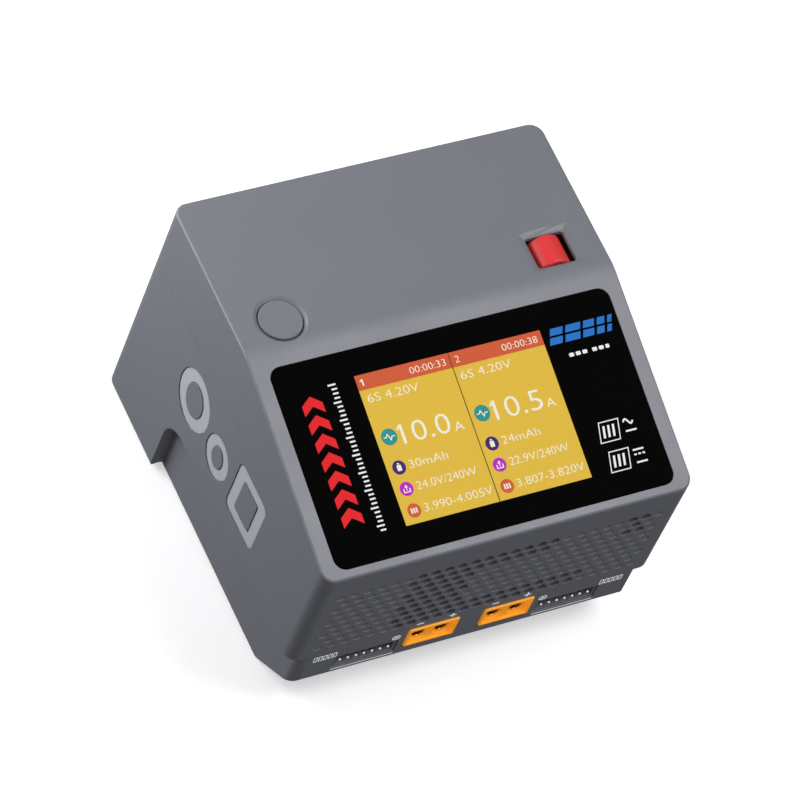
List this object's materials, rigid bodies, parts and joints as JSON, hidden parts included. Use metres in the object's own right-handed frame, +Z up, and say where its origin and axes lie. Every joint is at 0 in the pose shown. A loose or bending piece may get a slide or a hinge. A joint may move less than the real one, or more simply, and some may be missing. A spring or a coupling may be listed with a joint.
{
  "type": "balance battery charger",
  "caption": "Free-standing grey battery charger: sloped colour display, round button, red scroll roller, amber power sockets, balance sockets, rear fan and mains inlet.",
  "frame": {"origin": "on the ground plane under the middle of the case", "axes": "+Z up; -Y out of the front face with the output sockets; +X to the right when facing the display"},
  "size_m": [0.1148, 0.1143, 0.085],
  "materials": {
    "case_plastic": "fine-textured grey moulded ABS",
    "black_plastic": "black moulded nylon",
    "button_plastic": "grey moulded ABS, same as the case",
    "display_glass": "black printed cover glass, polished",
    "lcd_panel": "lit colour display",
    "badge_plastic": "light grey satin inlay",
    "red_plastic": "red satin plastic",
    "amber_plastic": "amber moulded nylon",
    "circuit_board": "green solder mask",
    "brass_contact": "gold-plated brass",
    "steel": "plated steel",
    "aluminium": "extruded aluminium",
    "rubber": "black rubber",
    "ferrite": "dark grey ferrite and winding tape",
    "capacitor_sleeve": "dark plastic sleeve"
  },
  "bodies": {
    "case": {"upper_shell": "case_plastic", "lower_shell": "case_plastic", "rear_panel": "black_plastic", "display_glass": "display_glass", "lcd_module": "lcd_panel", "display_board": "circuit_board", "control_board": "circuit_board", "channel_switch": "black_plastic", "roller_switch": "black_plastic", "power_socket_left": "amber_plastic", "power_socket_right": "amber_plastic", "power_contact_left_a": "brass_contact", "power_contact_left_b": "brass_contact", "power_contact_right_a": "brass_contact", "power_contact_right_b": "brass_contact", "balance_socket_left": "black_plastic", "balance_socket_right": "black_plastic", "balance_pins_left": "steel", "balance_pins_right": "steel", "dc_input_socket": "amber_plastic", "dc_input_contact_a": "brass_contact", "dc_input_contact_b": "brass_contact", "ac_inlet": "black_plastic", "ac_inlet_blades": "steel", "usb_port": "steel", "fan_frame": "black_plastic", "main_board": "circuit_board", "heat_sink": "aluminium", "transformer": "ferrite", "bulk_capacitor_front": "capacitor_sleeve", "bulk_capacitor_rear": "capacitor_sleeve", "inductor_left": "ferrite", "inductor_right": "ferrite", "badge_ring_large": "badge_plastic", "badge_ring_small": "badge_plastic", "badge_square": "badge_plastic", "rubber_foot_1": "rubber", "base_screw_1": "steel", "fan_screw_1": "steel", "rubber_foot_2": "rubber", "base_screw_2": "steel", "fan_screw_2": "steel", "rubber_foot_3": "rubber", "base_screw_3": "steel", "fan_screw_3": "steel", "rubber_foot_4": "rubber", "base_screw_4": "steel", "fan_screw_4": "steel"},
    "channel_button": {"channel_button": "button_plastic"},
    "roller_carrier": {"roller_carrier": "black_plastic", "roller_axle": "steel", "roller_encoder": "black_plastic"},
    "scroll_roller": {"scroll_roller": "red_plastic"},
    "fan_rotor": {"fan_rotor": "black_plastic"}
  },
  "joints": [
    {"name": "button_press", "type": "slide", "parent": "case", "child": "channel_button", "axis": [0, 0, -1], "range_m": [0, 0.0008], "stiffness_N_per_m": 1500},
    {"name": "roller_press", "type": "slide", "parent": "case", "child": "roller_carrier", "axis": [0, 0, -1], "range_m": [0, 0.0007], "stiffness_N_per_m": 1500},
    {"name": "roller_spin", "type": "hinge", "parent": "roller_carrier", "child": "scroll_roller", "pos_m": [0.0423, 0.01675, 0.0793], "axis": [0, 1, 0], "continuous": true},
    {"name": "fan_spin", "type": "hinge", "parent": "case", "child": "fan_rotor", "pos_m": [-0.021, 0.0441, 0.0392], "axis": [0, 1, 0], "continuous": true}
  ]
}
